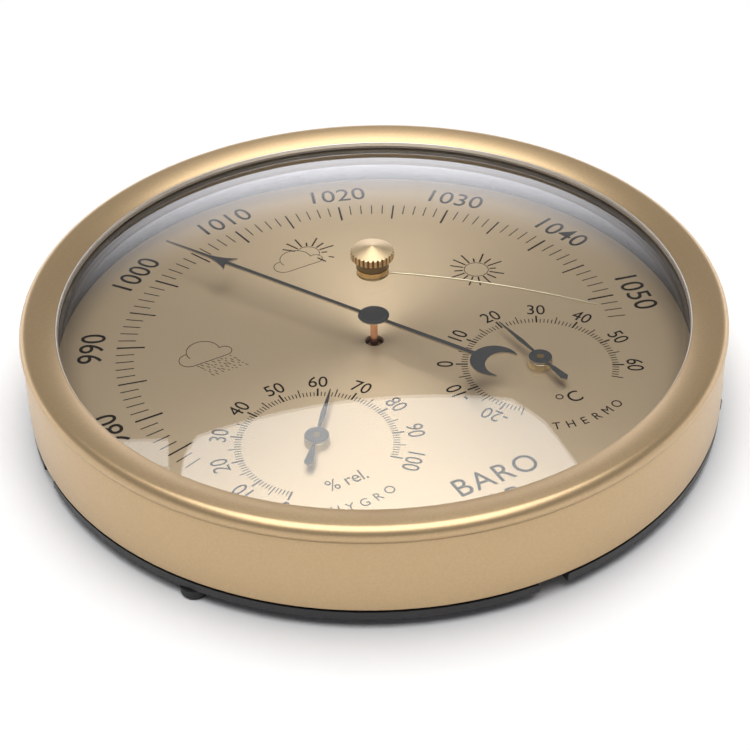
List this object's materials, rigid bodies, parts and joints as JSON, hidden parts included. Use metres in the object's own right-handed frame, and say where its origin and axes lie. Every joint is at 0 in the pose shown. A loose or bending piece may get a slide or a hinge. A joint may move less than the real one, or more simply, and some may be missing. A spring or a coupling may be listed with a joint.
{
  "type": "aneroid barometer",
  "caption": "Round gold-cased aneroid barometer under a domed glass, with pointer, set hand, and small thermometer and hygrometer dials; hangs on a wall or lies flat.",
  "frame": {"origin": "centre of the case on the plane of the four feet, which is the lowest point of the part", "axes": "+Z out of the dial towards the reader, +Y to 12 o'clock of the dial (1013 hPa), +X to 3 o'clock"},
  "size_m": [0.13, 0.13, 0.0315],
  "materials": {
    "gold_case": "satin champagne gold lacquer",
    "window_glass": "clear polished, domed",
    "gasket_rubber": "matte",
    "inner_ring": "matte dark grey",
    "dial_gold": "circular brushed, gold",
    "black_plastic": "fine moulded texture",
    "foot_rubber": "matte",
    "steel": "brushed",
    "brass": "turned, satin",
    "copper": "turned, coppery",
    "nickel": "pressed sheet",
    "spring_bronze": "rolled strip",
    "black_hand": "satin black"
  },
  "bodies": {
    "case": {"case_shell": "gold_case", "glass": "window_glass", "glass_bush": "brass", "glass_gasket": "gasket_rubber", "spacer_ring": "inner_ring", "dial_plate": "dial_gold", "back_cover": "black_plastic", "rubber_feet": "foot_rubber", "cover_screws": "steel", "movement_base": "steel", "movement_bridge": "brass", "bridge_pillars": "brass", "bridge_screws": "steel", "capsule_lower": "nickel", "capsule_upper": "nickel", "lever_bracket": "brass", "lever_pin": "steel", "crank_bracket": "brass", "hairspring": "spring_bronze", "hairspring_stud": "brass", "thermo_bracket": "steel", "thermo_boss": "brass", "thermo_coil": "spring_bronze", "hygro_bracket": "steel", "hygro_boss": "brass", "hygro_coil": "spring_bronze"},
    "pointer": {"pointer_arbor": "copper", "hairspring_collet": "brass", "pointer": "black_hand", "pointer_hub": "black_hand"},
    "set_hand_unit": {"set_knob": "brass", "set_spindle": "brass", "set_hand": "brass", "spring_washer": "steel"},
    "thermo_unit": {"thermo_arbor": "brass", "thermo_hand": "black_hand"},
    "hygro_unit": {"hygro_arbor": "brass", "hygro_hand": "black_hand"},
    "capsule_button": {"capsule_post": "brass"},
    "lever": {"main_lever": "steel", "lever_drop_pin": "steel"},
    "rocking_shaft": {"crank": "steel"},
    "sector": {"sector_gear": "brass", "sector_arbor": "steel", "sector_tail_pin": "steel"},
    "calibration": {"calibration_screw": "steel"}
  },
  "joints": [
    {"name": "pointer_turn", "type": "hinge", "parent": "case", "child": "pointer", "pos_m": [0, 0, 0.016], "axis": [0, 0, 1], "range_deg": [-138.38, 81.62]},
    {"name": "set_hand_turn", "type": "hinge", "parent": "case", "child": "set_hand_unit", "pos_m": [0, 0, 0.0271], "axis": [0, 0, 1], "continuous": true},
    {"name": "thermo_turn", "type": "hinge", "parent": "case", "child": "thermo_unit", "pos_m": [0.023, -0.0218, 0.012], "axis": [0, 0, 1], "range_deg": [-138.5, 131.5]},
    {"name": "hygro_turn", "type": "hinge", "parent": "case", "child": "hygro_unit", "pos_m": [-0.023, -0.0218, 0.012], "axis": [0, 0, 1], "range_deg": [-97.6, 172.4]},
    {"name": "capsule_travel", "type": "slide", "parent": "case", "child": "capsule_button", "axis": [0, 0, 1], "range_m": [-0.00024152, 0.00014245], "stiffness_N_per_m": 2000},
    {"name": "lever_swing", "type": "hinge", "parent": "case", "child": "lever", "pos_m": [0, 0.0425, 0.00735], "axis": [1, 0, 0], "range_deg": [-0.48, 0.8]},
    {"name": "rocking_shaft_turn", "type": "hinge", "parent": "case", "child": "rocking_shaft", "pos_m": [0.0211, 0, 0.00385], "axis": [1, 0, 0], "range_deg": [-27.8, 16.5]},
    {"name": "sector_swing", "type": "hinge", "parent": "case", "child": "sector", "pos_m": [0.01653, 0, 0.00585], "axis": [0, 0, 1], "range_deg": [-8.3, 14]},
    {"name": "calibration_turn", "type": "hinge", "parent": "case", "child": "calibration", "pos_m": [0, 0.025, 0.0015], "axis": [0, 0, 1], "range_deg": [-180, 180]}
  ],
  "couplings": [
    {"joint": "lever_swing", "follows": "capsule_travel", "rad_per_m": -57.143},
    {"joint": "rocking_shaft_turn", "follows": "capsule_travel", "rad_per_m": 2000},
    {"joint": "sector_swing", "follows": "capsule_travel", "rad_per_m": -1000},
    {"joint": "pointer_turn", "follows": "capsule_travel", "rad_per_m": 10000}
  ]
}
